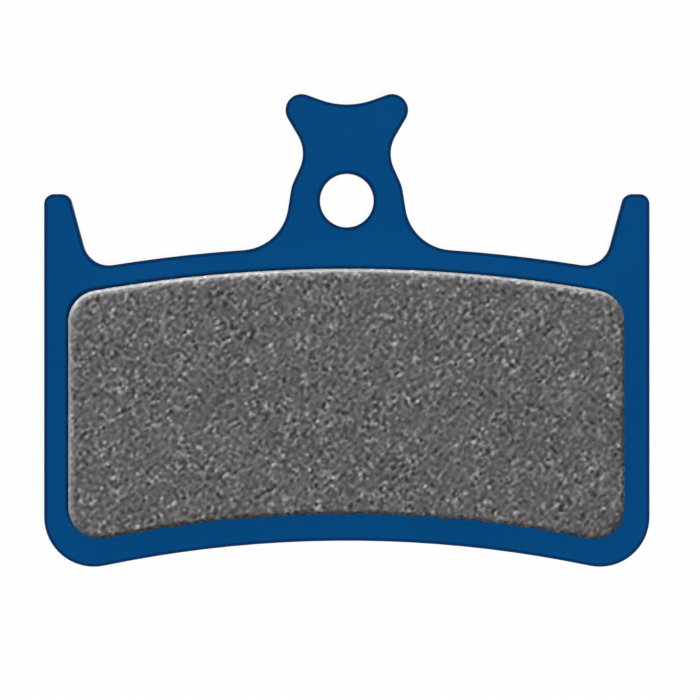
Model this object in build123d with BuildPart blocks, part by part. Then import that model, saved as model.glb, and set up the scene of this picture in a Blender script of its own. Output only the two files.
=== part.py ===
from build123d import *
from math import radians, tan
import os

# Bicycle disc brake pad: a blanked steel backing plate that carries a moulded block of friction compound.
# The origin is on the pin hole's axis, at the plate's back face. +X runs across the pad, +Y runs away from
# the rotor's axis through the pull tab, and +Z points at the rotor. Lengths are in millimetres.

# Plate body: a sector of a ring about the rotor's axis, cut off square at both ends
overall_width = 39.5
plate_thickness = 2.0
upper_edge_radius = 97.0     # upper edge, about the rotor's axis
upper_edge_drop = 3.0        # from the pin hole's axis down to the crown of the upper edge
body_height = 19.2           # between the upper and the lower edge, along a radius
foot_radius = 3.25           # lower corners
front_edge_radius = 0.25     # soft edge that blanking leaves on the rotor's side
back_edge_break = 0.1        # deburred edge on the pistons' side

# Horns: the plate's upper corners, which stop against the caliper
horn_rise = 0.42             # from the pin hole's axis up to the tips
horn_tip_width = 1.65        # across a tip's sharp corners
horn_flank_lean = 15.2       # degrees from upright
horn_tip_radius = 0.65
horn_root_radius = 1.7

# Pull tab: widths and rises are those of the sharp corners, before they are rounded
pin_hole_diameter = 3.5
tab_width = 7.5              # across the flanks, level with the pin hole
tab_flank_lean = 9.0         # degrees from upright
tab_root_radius = 3.15
shoulder_rise = 0.95
shoulder_radius = 2.4
neck_width = 5.15
neck_rise = 3.2
neck_radius = 2.35
ear_span = 8.0               # across both ears
ear_rise = 6.95              # from the pin hole's axis up to the top of the ears
ear_radius = 1.05
hollow_depth = 1.0           # from the top of the ears down to the corner between them
hollow_radius = 5.0

# Friction block: a smaller sector of the same ring, set in from the plate's edges
friction_thickness = 2.0
outer_margin = 1.45          # bare plate above the block
inner_margin = 1.75          # bare plate below the block
end_margin = 1.6             # bare plate at each end of the block
friction_corner_radius = 2.05
friction_draft = 1.0         # degrees
friction_edge_radius = 0.4

# Values that follow from these
half_width = overall_width / 2
rotor_axis = -(upper_edge_drop + upper_edge_radius)
lower_edge_radius = upper_edge_radius - body_height
mid_body = -(upper_edge_drop + body_height / 2)
friction_half_width = half_width - end_margin
friction_outer_radius = upper_edge_radius - outer_margin
friction_inner_radius = lower_edge_radius + inner_margin


def ring_sector(outer_radius, inner_radius, half_length):
    """Draw the part of a ring about the rotor's axis that lies within a half length of the pad's middle."""
    with Locations((0, rotor_axis)):
        Circle(outer_radius)
        Circle(inner_radius, mode=Mode.SUBTRACT)
        Rectangle(2 * half_length, outer_radius, align=(Align.CENTER, Align.MIN), mode=Mode.INTERSECT)


def arc_point(radius, x):
    """Give the point at x on an arc about the rotor's axis."""
    return (x, rotor_axis + (radius**2 - x**2) ** 0.5)


def flank_point(start, lean, y):
    """Give the point at y on a straight flank through a start, which leans inwards on its way up."""
    return (start[0] - (y - start[1]) * tan(radians(lean)), y)


def corner_pair(sketch, point):
    """Pick the corner of a sketch that is nearest to a point, and its twin across the pad's middle."""
    x, y = point
    return [sketch.vertices().sort_by_distance((side * x, y))[0] for side in (1, -1)]


# Sharp corners of the plate's right half, from its foot up to the tab. Both roots are close guesses, which
# pick the corners where the flanks meet the upper edge.
foot = arc_point(lower_edge_radius, half_width)
horn_outer = (half_width, horn_rise)
horn_inner = (half_width - horn_tip_width, horn_rise)
horn_base = flank_point(horn_inner, -horn_flank_lean, mid_body)
horn_root = arc_point(upper_edge_radius, flank_point(horn_inner, -horn_flank_lean, -upper_edge_drop)[0])
tab_side = (tab_width / 2, 0)
tab_base = flank_point(tab_side, tab_flank_lean, mid_body)
tab_root = arc_point(upper_edge_radius, flank_point(tab_side, tab_flank_lean, -upper_edge_drop)[0])
shoulder = flank_point(tab_side, tab_flank_lean, shoulder_rise)
neck = (neck_width / 2, neck_rise)
ear_centre = (ear_span / 2 - ear_radius, ear_rise - ear_radius)
hollow = (0, ear_rise - hollow_depth)

# Backing plate, blanked from the rotor's side
with BuildPart() as backing_plate:
    with BuildSketch() as blank:
        ring_sector(upper_edge_radius, lower_edge_radius, half_width)

        # Horns, drawn down into the body
        with BuildLine():
            Polyline((half_width, mid_body), horn_outer, horn_inner, horn_base, close=True)
        make_face()
        mirror(about=Plane.YZ)

        # Pull tab, drawn down into the body: straight flanks, and tangents that lead round the ears
        with BuildLine():
            ear = CenterArc(ear_centre, ear_radius, 0, 360, mode=Mode.PRIVATE)
            Polyline((0, mid_body), tab_base, shoulder, neck)
            ear_flank = ConstrainedLines(ear, neck, selector=lambda lines: lines.sort_by(Axis.X)[-1])
            hollow_flank = ConstrainedLines(ear, hollow, selector=lambda lines: lines.sort_by(Axis.Y)[-1])
            TangentArc(ear_flank @ 0, hollow_flank @ 0, tangent=-(ear_flank % 0))
            mirror(about=Plane.YZ)
        make_face()

        # Corners rounded by the blanking tool
        fillet(corner_pair(blank, foot), foot_radius)
        fillet(corner_pair(blank, horn_outer) + corner_pair(blank, horn_inner), horn_tip_radius)
        fillet(corner_pair(blank, horn_root), horn_root_radius)
        fillet(corner_pair(blank, tab_root), tab_root_radius)
        fillet(corner_pair(blank, shoulder), shoulder_radius)
        fillet(corner_pair(blank, neck), neck_radius)
        fillet(corner_pair(blank, hollow)[0], hollow_radius)
    extrude(amount=plate_thickness)
    Hole(pin_hole_diameter / 2)
    fillet(backing_plate.faces().sort_by(Axis.Z)[-1].edges(), front_edge_radius)
    chamfer(backing_plate.faces().sort_by(Axis.Z)[0].edges(), back_edge_break)

# Friction block, moulded with draft on to the plate's front face
with BuildPart() as friction_pad:
    with BuildSketch(Plane.XY.offset(plate_thickness)) as footprint:
        ring_sector(friction_outer_radius, friction_inner_radius, friction_half_width)
        fillet(footprint.vertices(), friction_corner_radius)
    extrude(amount=friction_thickness, taper=friction_draft)
    fillet(friction_pad.faces().sort_by(Axis.Z)[-1].edges(), friction_edge_radius)

backing_plate.part.label = "backing_plate"
friction_pad.part.label = "friction_pad"

os.makedirs("parts", exist_ok=True)
export_step(backing_plate.part, "parts/backing_plate.step")
export_step(friction_pad.part, "parts/friction_pad.step")
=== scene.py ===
import math
import bmesh
import bpy
from mathutils import Euler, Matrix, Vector, noise


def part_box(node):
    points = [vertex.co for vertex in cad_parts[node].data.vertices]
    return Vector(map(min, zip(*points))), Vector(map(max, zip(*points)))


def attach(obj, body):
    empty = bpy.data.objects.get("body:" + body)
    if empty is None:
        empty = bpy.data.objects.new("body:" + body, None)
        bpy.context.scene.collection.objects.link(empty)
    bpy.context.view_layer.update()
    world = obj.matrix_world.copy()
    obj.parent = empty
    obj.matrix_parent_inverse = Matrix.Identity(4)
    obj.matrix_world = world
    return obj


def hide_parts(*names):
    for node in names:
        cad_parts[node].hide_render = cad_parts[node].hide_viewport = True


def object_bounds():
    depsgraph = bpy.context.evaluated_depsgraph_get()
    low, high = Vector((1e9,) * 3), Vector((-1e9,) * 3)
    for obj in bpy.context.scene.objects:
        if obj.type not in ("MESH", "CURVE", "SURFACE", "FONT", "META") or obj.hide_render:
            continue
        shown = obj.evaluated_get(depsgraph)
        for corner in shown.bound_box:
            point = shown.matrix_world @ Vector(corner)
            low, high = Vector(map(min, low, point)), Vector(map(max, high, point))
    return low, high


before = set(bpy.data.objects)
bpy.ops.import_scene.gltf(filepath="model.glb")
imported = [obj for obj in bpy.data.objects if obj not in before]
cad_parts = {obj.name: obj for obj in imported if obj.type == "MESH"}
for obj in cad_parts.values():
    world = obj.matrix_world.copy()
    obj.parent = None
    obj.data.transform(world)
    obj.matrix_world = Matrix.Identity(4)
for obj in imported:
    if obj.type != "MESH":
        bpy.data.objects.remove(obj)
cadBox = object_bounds()
mm = 0.001  # the scene is in metres
print("frame loaded:", ", ".join(sorted(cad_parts)))

# ends of a mapped range, and the span that holds most of a noise's values
upward = (0.0, 1.0)
downward = (1.0, 0.0)
noiseSpan = (0.3, 0.7)


def addNode(tree, kind, sockets, **settings):
    made = tree.nodes.new("ShaderNode" + kind)
    for name, value in settings.items():
        setattr(made, name, value)
    for key, value in sockets.items():
        if isinstance(value, bpy.types.NodeSocket):
            tree.links.new(value, made.inputs[key])
        else:
            made.inputs[key].default_value = value
    return made


def opaque(colour):
    return (*colour, 1)


def mixColour(tree, factor, first, second, blend="MIX"):
    sockets = {0: factor, 6: first, 7: second}  # the colour sockets of the Mix node
    return addNode(tree, "Mix", sockets, data_type="RGBA", blend_type=blend).outputs[2]


def mapRange(tree, value, span, ends=upward, soft=False):
    sockets = {
        "Value": value,
        "From Min": span[0],
        "From Max": span[1],
        "To Min": ends[0],
        "To Max": ends[1],
    }
    kind = "SMOOTHSTEP" if soft else "LINEAR"
    return addNode(tree, "MapRange", sockets, interpolation_type=kind).outputs["Result"]


def calculate(tree, operation, first, second=0.0):
    return addNode(tree, "Math", {0: first, 1: second}, operation=operation).outputs[0]


def mapBand(tree, value, start, stop, soft=False):
    # 1 between the two spans, and 0 before the first and past the second
    before = mapRange(tree, value, start, soft=soft)
    after = mapRange(tree, value, stop, downward, soft=soft)
    return calculate(tree, "MULTIPLY", before, after)


def noisePattern(tree, place, grain, detail=2.0):
    sockets = {"Vector": place, "Scale": 1 / grain, "Detail": detail}
    return addNode(tree, "TexNoise", sockets).outputs["Fac"]


def colourRamp(tree, factor, stops):
    ramp = addNode(tree, "ValToRGB", {"Fac": factor})
    elements = ramp.color_ramp.elements
    while len(elements) < len(stops):
        elements.new(1.0)  # gets its place below
    for element, (position, colour) in zip(elements, stops):
        element.position = position
        element.color = opaque(colour)
    return ramp.outputs["Color"]


def newMaterial(name):
    material = bpy.data.materials.new(name)
    material.use_nodes = True
    tree = material.node_tree
    tree.nodes.clear()
    shader = addNode(tree, "BsdfPrincipled", {})
    output = addNode(tree, "OutputMaterial", {"Surface": shader.outputs["BSDF"]})
    output.is_active_output = True
    return material, tree, shader


def addObject(name, data):
    made = bpy.data.objects.new(name, data)
    bpy.context.scene.collection.objects.link(made)
    return made


def addMesh(name, bm):
    mesh = bpy.data.meshes.new(name)
    bm.to_mesh(mesh)
    return addObject(name, mesh)


# Backing plate: satin blue paint on blanked steel
platePaint = {
    "deep": (0.0012, 0.066, 0.215),
    "light": (0.0016, 0.071, 0.229),
    "clouding": 6.0 * mm,
    "edge": (0.0008, 0.034, 0.132),  # painted shade: a darker paint colour on the rounded edges and walls, for the dark rim that shading gives there
    "shadedEdgeFacing": (0.965, 0.9998),   # how squarely the surface faces up or down, from an edge to a flat
    "wallFacing": (0.15, 0.5),       # the same, from a wall to an edge
    "roughness": (0.36, 0.44),
    "specular": 0.05,
    "peel": 0.7 * mm,                # waves of the sprayed skin
    "peelDepth": 0.010 * mm,
    "peelStrength": 0.6,
    "streak": 0.12 * mm,             # lines that blanking leaves on the walls
    "streakSqueeze": (1, 1, 0.06),
    "streakDepth": 0.012 * mm,
    "streakStrength": 0.8,
}


def makePlatePaint(paint):
    material, tree, shader = newMaterial("plate_paint_satin")
    place = addNode(tree, "TexCoord", {})
    spot = place.outputs["Object"]
    up = addNode(tree, "SeparateXYZ", {"Vector": place.outputs["Normal"]}).outputs["Z"]
    facing = calculate(tree, "ABSOLUTE", up)
    edge = mapRange(tree, facing, paint["shadedEdgeFacing"], downward)  # 1 on rounded edges and walls, where the shade is painted
    wall = mapRange(tree, facing, paint["wallFacing"], downward, soft=True)

    clouds = noisePattern(tree, spot, paint["clouding"], detail=3.0)
    skin = colourRamp(tree, clouds, list(zip(noiseSpan, (paint["deep"], paint["light"]))))
    # the paint's skin, with painted shade on its edges
    tree.links.new(mixColour(tree, edge, skin, opaque(paint["edge"])), shader.inputs["Base Color"])

    peel = noisePattern(tree, spot, paint["peel"], detail=1.0)
    tree.links.new(mapRange(tree, peel, noiseSpan, paint["roughness"]), shader.inputs["Roughness"])
    shader.inputs["Specular IOR Level"].default_value = paint["specular"]

    upright = addNode(tree, "Mapping", {"Vector": spot, "Scale": paint["streakSqueeze"]}).outputs["Vector"]
    lines = noisePattern(tree, upright, paint["streak"], detail=3.0)
    streaks = calculate(tree, "MULTIPLY", lines, wall)
    sockets = {"Height": peel, "Strength": paint["peelStrength"], "Distance": paint["peelDepth"]}
    waves = addNode(tree, "Bump", sockets).outputs["Normal"]
    sockets = {"Height": streaks, "Strength": paint["streakStrength"], "Distance": paint["streakDepth"]}
    sockets["Normal"] = waves
    tree.links.new(addNode(tree, "Bump", sockets).outputs["Normal"], shader.inputs["Normal"])
    return material


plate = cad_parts["backing_plate"]
plate.data.materials.clear()
plate.data.materials.append(makePlatePaint(platePaint))
print("plate painted")


# Friction block: a moulded, drafted ring sector with a grained skin.
# Its lengths are in millimetres until it is scaled at the end.
frictionBlock = {
    "rotorAxis": -100.0,      # y of the rotor's axis
    "outerRadius": 95.55,
    "innerRadius": 79.55,
    "cornerRadius": 2.05,
    "draft": math.radians(1),
    "edgeRadius": 0.4,
    "arcSteps": 24,           # in half of each long arc
    "cornerSteps": 12,
    "edgeSegments": 8,
    "tolerance": 0.001,       # points closer than this are one
    "faceGap": 0.001,         # the ground face stays this far below the solid's
    "skirt": 0.4,             # cut off again once the skin is fine
    "voxel": 0.1,
    "footMerge": 0.015,       # short edges that the cut leaves along the foot
    # grains: a round core in a shallow moat, each with a height of its own
    "turn": (0.5, 0.8, 0.3),  # keeps the noise's own grid off the flat face
    "grainSize": 0.36,
    "grainGain": 1.05,
    "coreReach": 0.65,        # in grain sizes
    "coreGain": 1.5,
    "moatReach": 0.95,
    "moatGain": 0.5,
    "heightSpread": 37.0,
    "pitShare": 0.8,          # pits are a little less deep than grains are high
    # crumbs: finer than the grains, sharpened against what lies round them
    "crumbSize": 0.27,
    "crumbReach": 0.27,
    "crumbGain": 0.95,
    "crumbSharpness": 0.4,
    # calm and busy patches, and slow clouds from one part of the mix to the next
    "patchSize": 0.66,
    "patchTone": 0.15,
    "patchGain": 0.74,
    "contrast": 0.65,
    "contrastLimits": (0.35, 1.12),
    "cloudSize": 1.6,
    "cloudTone": 0.14,
    # relief, pressed inwards from the moulded form
    "relief": 0.035,          # from the deepest pore to the highest grain
    "wallRelief": 0.05,       # at the rim and on the walls
    "wallRise": 0.7,          # brings the walls back towards the moulded form
    "endBack": 0.08,          # how far the right end stands back from the mould's line
    # the walls on this side came out of the mould less clean
    "crumbleSide": (0.6, -1.0, 0.0),
    "crumbleGain": 2.0,
    "crumble": 0.10,          # more relief there
    "dragSize": 0.42,         # lines that the mould dragged down those walls
    "dragDepth": 0.13,
    "dragSqueeze": (1, 1, 0.15),
}


def limit(value, low, high):
    return min(max(value, low), high)


def sweepPen(bm, pen, centre, angle, steps):
    swept = bmesh.ops.spin(bm, geom=pen, cent=centre, axis=(0, 0, 1), angle=angle, steps=steps)
    return [item for item in swept["geom_last"] if isinstance(item, bmesh.types.BMVert)]


def traceBlock(bm, size, halfWidth):
    # the pen goes from the crown of the outer arc, round the right end, to the crown of the inner arc
    corner = size["cornerRadius"]
    axis = Vector((0, size["rotorAxis"], 0))
    outerReach = size["outerRadius"] - corner
    innerReach = size["innerRadius"] + corner
    outerSweep = math.asin((halfWidth - corner) / outerReach)
    innerSweep = math.asin((halfWidth - corner) / innerReach)
    upperCentre = axis + outerReach * Vector((math.sin(outerSweep), math.cos(outerSweep), 0))
    lowerCentre = axis + innerReach * Vector((math.sin(innerSweep), math.cos(innerSweep), 0))
    quarter = math.pi / 2

    pen = bmesh.ops.create_vert(bm, co=axis + Vector((0, size["outerRadius"], 0)))["vert"]
    pen = sweepPen(bm, pen, axis, -outerSweep, size["arcSteps"])
    pen = sweepPen(bm, pen, upperCentre, outerSweep - quarter, size["cornerSteps"])
    pen = bmesh.ops.extrude_vert_indiv(bm, verts=pen)["verts"]
    bmesh.ops.translate(bm, verts=pen, vec=lowerCentre - upperCentre)
    pen[0].co.x = halfWidth
    pen = sweepPen(bm, pen, lowerCentre, -(quarter + innerSweep), size["cornerSteps"])
    sweepPen(bm, pen, axis, innerSweep, size["arcSteps"])

    # the left half, and one face that looks up
    bmesh.ops.mirror(bm, geom=bm.verts[:] + bm.edges[:], axis="X", merge_dist=size["tolerance"])
    bmesh.ops.remove_doubles(bm, verts=bm.verts, dist=size["tolerance"])
    face = bmesh.ops.contextual_create(bm, geom=bm.edges[:])["faces"][0]
    face.normal_update()
    if face.normal.z < 0:
        face.normal_flip()
    return face


def mouldBlock(bm, size, halfWidth, base, top):
    face = traceBlock(bm, size, halfWidth)
    height = top - base
    bmesh.ops.translate(bm, verts=bm.verts, vec=(0, 0, base))
    bmesh.ops.inset_region(bm, faces=[face], thickness=height * math.tan(size["draft"]), depth=height,
                           use_boundary=True, use_even_offset=True)
    tangentLength = size["edgeRadius"] * math.tan((math.pi / 2 - size["draft"]) / 2)
    bmesh.ops.bevel(bm, geom=list(face.edges), offset=tangentLength, affect="EDGES",
                    segments=size["edgeSegments"], profile=0.5, material=-1)

    # a skirt below the block, so that the remeshed wall can be cut off straight at the plate
    foot = [edge for edge in bm.edges if edge.is_boundary]
    skirt = bmesh.ops.extrude_edge_only(bm, edges=foot)["geom"]
    lowered = [item for item in skirt if isinstance(item, bmesh.types.BMVert)]
    bmesh.ops.translate(bm, verts=lowered, vec=(0, 0, -size["skirt"]))
    bmesh.ops.contextual_create(bm, geom=[item for item in skirt if isinstance(item, bmesh.types.BMEdge)])
    bmesh.ops.recalc_face_normals(bm, faces=bm.faces)


def fineSkin(bm, voxel):
    # voxel remesh gives even, small faces for the grain
    mould = addMesh("mould", bm)
    mesh = mould.data
    remesh = mould.modifiers.new("fine", "REMESH")
    remesh.mode = "VOXEL"
    remesh.voxel_size = voxel
    fine = bpy.data.meshes.new_from_object(mould.evaluated_get(bpy.context.evaluated_depsgraph_get()))
    bm.clear()
    bm.from_mesh(fine)
    bpy.data.objects.remove(mould)
    bpy.data.meshes.remove(mesh)
    bpy.data.meshes.remove(fine)


def cutFoot(bm, size, base):
    geometry = bm.verts[:] + bm.edges[:] + bm.faces[:]
    bmesh.ops.bisect_plane(bm, geom=geometry, plane_co=(0, 0, base), plane_no=(0, 0, 1), clear_inner=True)
    bmesh.ops.remove_doubles(bm, verts=bm.verts, dist=size["footMerge"])
    foot = [edge for edge in bm.edges if edge.is_boundary]
    bmesh.ops.contextual_create(bm, geom=foot)
    bmesh.ops.recalc_face_normals(bm, faces=bm.faces)


def grainHeight(spot, size, steps):
    # from -1 in the deepest pore to 1 on the highest grain
    gaps, centres = noise.voronoi(spot / size["grainSize"])
    core = max(1 - (gaps[0] / size["coreReach"]) ** 2, 0) ** 2
    moat = max(1 - (gaps[0] / size["moatReach"]) ** 2, 0)
    pick = noise.cell(centres[0] * size["heightSpread"])
    lump = max(pick, size["pitShare"] * pick) * (size["coreGain"] * core - size["moatGain"] * moat)

    near = [noise.noise((spot + step) / size["crumbSize"]) for step in steps]
    crumb = noise.noise(spot / size["crumbSize"]) - size["crumbSharpness"] * sum(near) / len(near)

    patch = noise.noise(spot / size["patchSize"])
    cloud = noise.noise(spot / size["cloudSize"])
    contrast = limit(size["contrast"] + size["patchGain"] * patch, *size["contrastLimits"])
    height = size["grainGain"] * lump + size["crumbGain"] * crumb
    height = height + size["patchTone"] * patch + size["cloudTone"] * cloud
    return limit(height * contrast, -1, 1)


def grainSkin(bm, size, base):
    # the relief is real, and the colour reads the same values from the points
    grainLayer = bm.verts.layers.float.new("grain")
    rimLayer = bm.verts.layers.float.new("rim")
    crumbledLayer = bm.verts.layers.float.new("crumbled")
    crumbleSide = Vector(size["crumbleSide"])
    dragSqueeze = Vector(size["dragSqueeze"])
    turn = Euler(size["turn"]).to_matrix()
    around = ((1, 0, 0), (-1, 0, 0), (0, 1, 0), (0, -1, 0))
    steps = [turn @ Vector(step) * size["crumbReach"] for step in around]
    bm.normal_update()
    moves = []
    for vert in bm.verts:
        grain = grainHeight(turn @ vert.co, size, steps)
        rim = limit(1 - vert.normal.z, 0, 1)  # 0 on the face and 1 on the walls
        outward = vert.normal.xy.normalized()
        vert[grainLayer] = grain
        vert[rimLayer] = rim
        vert[crumbledLayer] = max(size["crumbleGain"] * outward.dot(crumbleSide.xy), 0)

        crude = limit(vert.normal.dot(crumbleSide), 0, 1) * rim
        drag = noise.noise(vert.co * dragSqueeze / size["dragSize"])
        depth = size["relief"] + (size["wallRelief"] - size["relief"]) * rim + size["crumble"] * crude
        lift = depth * (grain - 1 + size["wallRise"] * rim) / 2 + size["dragDepth"] * drag * crude
        back = size["endBack"] * max(outward.x, 0) ** 2 * rim
        moves.append(vert.normal * lift - Vector((back, 0, 0)))
    for vert, move in zip(bm.verts, moves):
        onPlate = abs(vert.co.z - base) < size["tolerance"]
        vert.co += move
        if onPlate:
            vert.co.z = base
    for face in bm.faces:
        face.smooth = True


def makeFrictionBlock(size):
    low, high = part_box("friction_pad")
    halfWidth = high.x / mm
    base = low.z / mm
    top = high.z / mm - size["faceGap"]
    bm = bmesh.new()
    mouldBlock(bm, size, halfWidth, base, top)
    print("block moulded:", len(bm.faces), "faces")
    fineSkin(bm, size["voxel"])
    cutFoot(bm, size, base)
    grainSkin(bm, size, base)
    bmesh.ops.scale(bm, verts=bm.verts, vec=(mm, mm, mm))
    block = addMesh("friction_block", bm)
    bm.free()
    print("block grained:", len(block.data.polygons), "faces")
    return block


# Friction compound: grey sintered grains, dark pores and a few paler metal flecks.
# Spans of the rim go from 0 on the face to 1 on the walls.
frictionCompound = {
    "pore": (0.036, 0.035, 0.036),
    "matrix": (0.097, 0.093, 0.093),
    "grain": (0.163, 0.158, 0.157),
    "fleck": (0.400, 0.391, 0.385),
    "toneLevels": (0.22, 0.46, 0.63, 1.0),  # where these four lie between the lowest and the highest point
    "grainSpan": (-0.9, 0.9),
    "rim": (0.117, 0.119, 0.123),           # smoother skin that the mould left along the edge
    "rimSpan": (0.03, 0.3),
    "rimShare": (0.7, 0.15),                # on clean edges, and on crumbled ones
    "shadeLift": (1.42, 1.40, 1.37),            # painted light: gain that lifts the crumbled lower and right edges against the shade they get
    "shadeLiftStart": (0.0002, 0.003),
    "shadeLiftStop": (0.04, 0.20),
    "shadeLiftSide": (0.3, 2.0),                # from hardly to badly crumbled
    "wallShade": (0.58, 0.58, 0.58),        # painted shade: share of the tone kept on the walls, darker than the face as if in shadow
    "wallSpan": (0.65, 0.95),
    "burnish": 0.3,                         # share of bare metal on the clean edge
    "burnishStart": (0.01, 0.14),
    "burnishStop": (0.75, 0.94),
    "roughness": (0.85, 0.55),              # up to the matrix, and on the flecks
    "roughnessLevels": (0.5, 1.0),
    "edgeRoughness": 0.55,
    "specular": 0.08,
    "grazing": (0.25, 0.25, 0.25),          # share of the shine that is left at a flat angle
    "dust": 0.11 * mm,
    "dustShades": ((0.94, 0.94, 0.94), (1.06, 1.06, 1.06)),
    "dustDepth": 0.006 * mm,
    "dustStrength": 0.5,
}


def readAttribute(tree, name):
    return addNode(tree, "Attribute", {}, attribute_name=name).outputs["Fac"]


def makeFrictionCompound(finish):
    material, tree, shader = newMaterial("friction_compound_sintered")
    spot = addNode(tree, "TexCoord", {}).outputs["Object"]
    rim = readAttribute(tree, "rim")
    crumbled = readAttribute(tree, "crumbled")
    level = mapRange(tree, readAttribute(tree, "grain"), finish["grainSpan"])
    tones = [finish[name] for name in ("pore", "matrix", "grain", "fleck")]
    tone = colourRamp(tree, level, list(zip(finish["toneLevels"], tones)))

    # edges: the mould's smooth skin, painted light on the crumbled edges, and painted shade on the walls
    share = mapRange(tree, crumbled, upward, finish["rimShare"])
    moulded = calculate(tree, "MULTIPLY", mapRange(tree, rim, finish["rimSpan"], soft=True), share)
    tone = mixColour(tree, moulded, tone, opaque(finish["rim"]))
    # painted light on the crumbled edges, lifting them against their shade
    paintedLift = mapBand(tree, rim, finish["shadeLiftStart"], finish["shadeLiftStop"])
    paintedLift = calculate(tree, "MULTIPLY", paintedLift, mapRange(tree, crumbled, finish["shadeLiftSide"]))
    tone = mixColour(tree, paintedLift, tone, opaque(finish["shadeLift"]), blend="MULTIPLY")
    # painted shade on the walls
    shadedWalls = mapRange(tree, rim, finish["wallSpan"], soft=True)
    tone = mixColour(tree, shadedWalls, tone, opaque(finish["wallShade"]), blend="MULTIPLY")

    # grinding dust over everything
    dust = noisePattern(tree, spot, finish["dust"])
    shade = colourRamp(tree, dust, list(zip(noiseSpan, finish["dustShades"])))
    tone = mixColour(tree, 1.0, tone, shade, blend="MULTIPLY")
    tree.links.new(tone, shader.inputs["Base Color"])
    sockets = {"Height": dust, "Strength": finish["dustStrength"], "Distance": finish["dustDepth"]}
    tree.links.new(addNode(tree, "Bump", sockets).outputs["Normal"], shader.inputs["Normal"])

    # bare metal where the clean edges rubbed along the mould
    burnished = mapBand(tree, rim, finish["burnishStart"], finish["burnishStop"], soft=True)
    burnished = calculate(tree, "MULTIPLY", burnished, mapRange(tree, crumbled, upward, downward))
    tree.links.new(calculate(tree, "MULTIPLY", burnished, finish["burnish"]), shader.inputs["Metallic"])
    rough = mapRange(tree, level, finish["roughnessLevels"], finish["roughness"])
    sockets = {0: burnished, 2: rough, 3: finish["edgeRoughness"]}  # the number sockets of the Mix node
    tree.links.new(addNode(tree, "Mix", sockets, data_type="FLOAT").outputs[0], shader.inputs["Roughness"])
    shader.inputs["Specular IOR Level"].default_value = finish["specular"]
    shader.inputs["Specular Tint"].default_value = opaque(finish["grazing"])
    return material


block = makeFrictionBlock(frictionBlock)
block.data.materials.append(makeFrictionCompound(frictionCompound))
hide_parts("friction_pad")
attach(block, "root")
print("block coloured")


# Studio: a white floor, a soft light from above for the plate and the floor, one from the upper left for
# the block, and a low strip along the block's upper rim.
# Bearings go from +X towards +Y, rises go up from the floor, and lengths are in metres.
studio = {
    "floorSize": 3.0,
    "floorGap": 0.02 * mm,
    "floorColour": (0.92, 0.92, 0.92),
    "floorRoughness": 0.9,
    "whiteShare": 0.96,  # plain white in what is seen of the floor, the rest shows the shadow
    "roomLight": 0.15,
    "topLight": {
        "bearing": math.radians(-50),
        "rise": math.radians(81),
        "distance": 0.6,
        "size": (0.08, 0.08),
        "power": 2.7,
        "glossy": False,
    },
    "blockLight": {
        "bearing": math.radians(142),
        "rise": math.radians(50),
        "distance": 1.2,
        "size": (0.5, 0.5),
        "power": 14.3,
        "glossy": False,
    },
    "rimStrip": {
        "bearing": math.radians(117),
        "rise": math.radians(2.5),
        "distance": 0.4,
        "size": (0.70, 0.05),
        "power": 12.0,
        "glossy": True,
    },
}
white = (1, 1, 1, 1)


def backgroundRays(tree):
    path = addNode(tree, "LightPath", {}).outputs
    seen = calculate(tree, "MAXIMUM", path["Is Camera Ray"], path["Is Glossy Ray"])
    return calculate(tree, "MAXIMUM", seen, path["Is Transmission Ray"])


def makeFloor(room):
    material, tree, shader = newMaterial("floor_white")
    shader.inputs["Base Color"].default_value = opaque(room["floorColour"])
    shader.inputs["Roughness"].default_value = room["floorRoughness"]
    shader.inputs["Specular IOR Level"].default_value = 0.0
    glow = addNode(tree, "Emission", {"Color": white, "Strength": 1.0})
    share = calculate(tree, "MULTIPLY", backgroundRays(tree), room["whiteShare"])
    both = addNode(tree, "MixShader", {0: share, 1: shader.outputs["BSDF"], 2: glow.outputs["Emission"]})
    output = next(node for node in tree.nodes if node.type == "OUTPUT_MATERIAL")
    tree.links.new(both.outputs["Shader"], output.inputs["Surface"])

    bm = bmesh.new()
    bmesh.ops.create_grid(bm, x_segments=1, y_segments=1, size=room["floorSize"] / 2)
    bmesh.ops.translate(bm, verts=bm.verts, vec=(0, 0, -room["floorGap"]))
    floor = addMesh("floor", bm)
    bm.free()
    floor.data.materials.append(material)
    return floor


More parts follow.
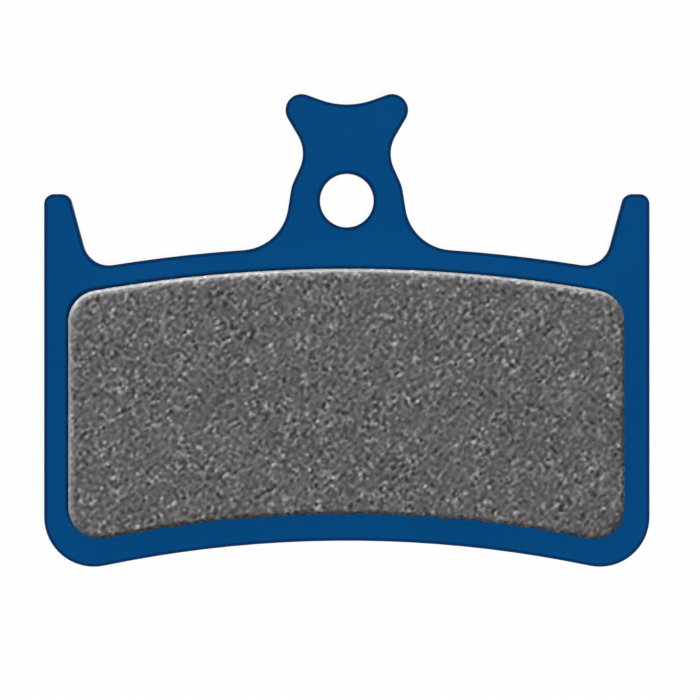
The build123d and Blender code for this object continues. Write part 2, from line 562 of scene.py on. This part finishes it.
def makeRoom(room):
    world = bpy.data.worlds.new("room")
    bpy.context.scene.world = world
    world.use_nodes = True
    tree = world.node_tree
    tree.nodes.clear()
    strength = mapRange(tree, backgroundRays(tree), upward, (room["roomLight"], 1.0))
    sky = addNode(tree, "Background", {"Color": white, "Strength": strength})
    addNode(tree, "OutputWorld", {"Surface": sky.outputs["Background"]})


def makeLight(name, lamp, receivers):
    middle = (cadBox[0] + cadBox[1]) / 2
    reach = lamp["distance"] * math.cos(lamp["rise"])
    offset = Vector((
        reach * math.cos(lamp["bearing"]),
        reach * math.sin(lamp["bearing"]),
        lamp["distance"] * math.sin(lamp["rise"]),
    ))
    source = bpy.data.lights.new(name, "AREA")
    source.shape = "RECTANGLE"
    source.size, source.size_y = lamp["size"]
    source.energy = lamp["power"]
    light = addObject(name, source)
    light.location = middle + offset
    light.rotation_euler = (-offset).to_track_quat("-Z", "Y").to_euler()
    light.visible_camera = False
    light.visible_glossy = lamp["glossy"]
    lit = bpy.data.collections.new(name + "_receivers")
    for piece in receivers:
        lit.objects.link(piece)
    light.light_linking.receiver_collection = lit


floor = makeFloor(studio)
makeRoom(studio)
makeLight("top_light", studio["topLight"], [plate, floor])
makeLight("block_light", studio["blockLight"], [block])
makeLight("rim_strip", studio["rimStrip"], [block])
print("studio lit")


# Camera: straight down on the pad, placed by where the plate lies in the photo's frame
photoView = {
    "frameSide": 700,         # pixels
    "plateLeft": 44.08,       # pixels, the plate's sides and top in the frame
    "plateRight": 649.53,
    "plateTop": 94.00,
    "plateLevel": 1.75 * mm,  # where the plate is widest, seen from above
    "lens": 500.0,
    "sensor": 36.0,
    "clip": (0.01, 10.0),
}


def makeCamera(view):
    low, high = cadBox
    perPixel = (high.x - low.x) / (view["plateRight"] - view["plateLeft"])
    half = view["frameSide"] / 2
    distance = view["frameSide"] * perPixel * view["lens"] / view["sensor"]
    lens = bpy.data.cameras.new("camera")
    lens.lens = view["lens"]
    lens.sensor_width = view["sensor"]
    lens.clip_start, lens.clip_end = view["clip"]
    camera = addObject("camera", lens)
    camera.location = (
        low.x + (half - view["plateLeft"]) * perPixel,
        high.y - (half - view["plateTop"]) * perPixel,
        view["plateLevel"] + distance,
    )
    bpy.context.scene.camera = camera


makeCamera(photoView)
bpy.context.scene.view_settings.view_transform = "Standard"
print("camera set")
